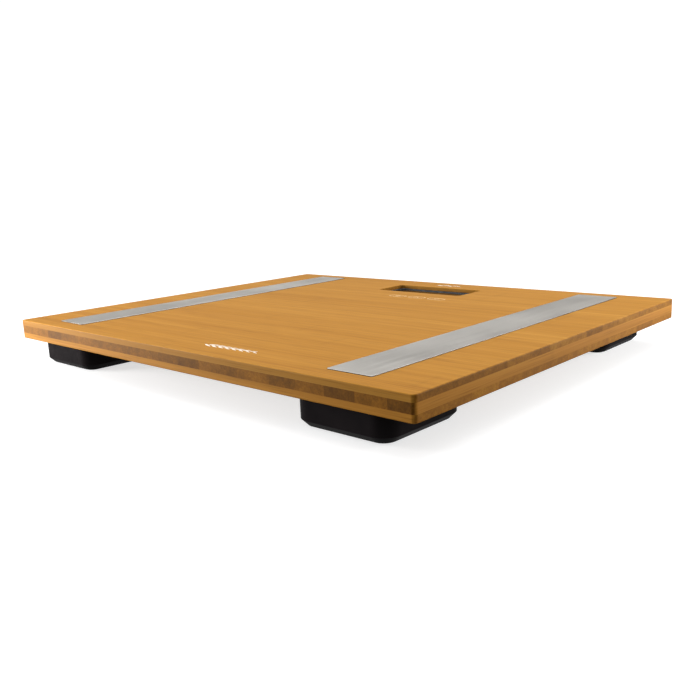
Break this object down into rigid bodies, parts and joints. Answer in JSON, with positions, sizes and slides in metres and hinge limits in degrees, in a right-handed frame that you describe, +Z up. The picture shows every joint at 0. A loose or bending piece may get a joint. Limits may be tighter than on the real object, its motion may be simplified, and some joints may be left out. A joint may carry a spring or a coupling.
{
  "type": "digital bathroom scale",
  "caption": "Low rectangular bamboo platform scale with inlaid metal electrode strips, a recessed display window and square sprung load-cell feet.",
  "frame": {"origin": "on the floor under the centre of the platform", "axes": "+X the user's right, +Y towards the display edge, +Z up"},
  "size_m": [0.32, 0.26, 0.027],
  "materials": {
    "bamboo_face": "oiled, carbonised bamboo",
    "bamboo_core": "carbonised bamboo, cross grain",
    "stainless_strip": "satin brushed",
    "zinc_steel": "zinc plated",
    "spring_steel": "nickel plated",
    "tinned_copper": "tinned",
    "foot_black": "moulded, semi gloss",
    "bracket_black": "moulded, fine texture",
    "pad_rubber": "matt",
    "gauge_potting": "silicone",
    "lead_sleeve": "soft sleeve",
    "cover_strip": "matt film",
    "housing_black": "moulded, fine texture",
    "lens_smoke": "polished, smoked",
    "gasket_foam": "foam",
    "lcd_glass": "polished",
    "frame_white": "moulded",
    "light_guide": "polished",
    "zebra_rubber": "matt",
    "board_green": "solder mask",
    "chip_black": "epoxy",
    "cell_jacket": "printed film",
    "button_grey": "moulded"
  },
  "bodies": {
    "platform": {"backlight": "light_guide", "battery_back": "cell_jacket", "battery_bridge_contact": "spring_steel", "battery_end_contacts": "spring_steel", "battery_front": "cell_jacket", "battery_leads": "lead_sleeve", "board_parts": "chip_black", "board_screws": "zinc_steel", "bottom_ply": "bamboo_face", "bracket_screws": "zinc_steel", "cable_cover_back_left": "cover_strip", "cable_cover_back_right": "cover_strip", "cable_cover_front_left": "cover_strip", "cable_cover_front_right": "cover_strip", "core_ply": "bamboo_core", "display_bezel": "housing_black", "display_lens": "lens_smoke", "electrode_covers": "cover_strip", "electrode_lead_left": "lead_sleeve", "electrode_lead_right": "lead_sleeve", "electrode_left": "stainless_strip", "electrode_nuts": "zinc_steel", "electrode_right": "stainless_strip", "electrode_terminals": "tinned_copper", "foot_bracket_back_left": "bracket_black", "foot_bracket_back_right": "bracket_black", "foot_bracket_front_left": "bracket_black", "foot_bracket_front_right": "bracket_black", "housing_screws": "zinc_steel", "lcd_frame": "frame_white", "lcd_glass": "lcd_glass", "lens_gasket": "gasket_foam", "load_cell_back_left": "spring_steel", "load_cell_back_right": "spring_steel", "load_cell_front_left": "spring_steel", "load_cell_front_right": "spring_steel", "load_cell_lead_back_left": "lead_sleeve", "load_cell_lead_back_right": "lead_sleeve", "load_cell_lead_front_left": "lead_sleeve", "load_cell_lead_front_right": "lead_sleeve", "main_board": "board_green", "module_housing": "housing_black", "strain_gauges": "gauge_potting", "switch_body": "chip_black", "top_ply": "bamboo_face", "touch_board": "board_green", "touch_header": "chip_black", "zebra_strips": "zebra_rubber"},
    "foot_front_left": {"foot_cup_front_left": "foot_black", "foot_pad_front_left": "pad_rubber"},
    "foot_front_right": {"foot_cup_front_right": "foot_black", "foot_pad_front_right": "pad_rubber"},
    "foot_back_left": {"foot_cup_back_left": "foot_black", "foot_pad_back_left": "pad_rubber"},
    "foot_back_right": {"foot_cup_back_right": "foot_black", "foot_pad_back_right": "pad_rubber"},
    "battery_door": {"battery_door": "housing_black"},
    "unit_button": {"unit_button": "button_grey", "switch_plunger": "button_grey"}
  },
  "joints": [
    {"name": "foot_press_front_left", "type": "slide", "parent": "platform", "child": "foot_front_left", "axis": [0, 0, 1], "range_m": [0, 0.0007], "stiffness_N_per_m": 8000, "springref_m": -0.0006, "deforming": ["load_cell_front_left"]},
    {"name": "foot_press_front_right", "type": "slide", "parent": "platform", "child": "foot_front_right", "axis": [0, 0, 1], "range_m": [0, 0.0007], "stiffness_N_per_m": 8000, "springref_m": -0.0006, "deforming": ["load_cell_front_right"]},
    {"name": "foot_press_back_left", "type": "slide", "parent": "platform", "child": "foot_back_left", "axis": [0, 0, 1], "range_m": [0, 0.0007], "stiffness_N_per_m": 8000, "springref_m": -0.0006, "deforming": ["load_cell_back_left"]},
    {"name": "foot_press_back_right", "type": "slide", "parent": "platform", "child": "foot_back_right", "axis": [0, 0, 1], "range_m": [0, 0.0007], "stiffness_N_per_m": 8000, "springref_m": -0.0006, "deforming": ["load_cell_back_right"]},
    {"name": "battery_door_slide", "type": "slide", "parent": "platform", "child": "battery_door", "axis": [0, -1, 0], "range_m": [0, 0.028]},
    {"name": "unit_button_press", "type": "slide", "parent": "platform", "child": "unit_button", "axis": [0, 0, 1], "range_m": [0, 0.0006], "stiffness_N_per_m": 60, "springref_m": -0.0005}
  ]
}
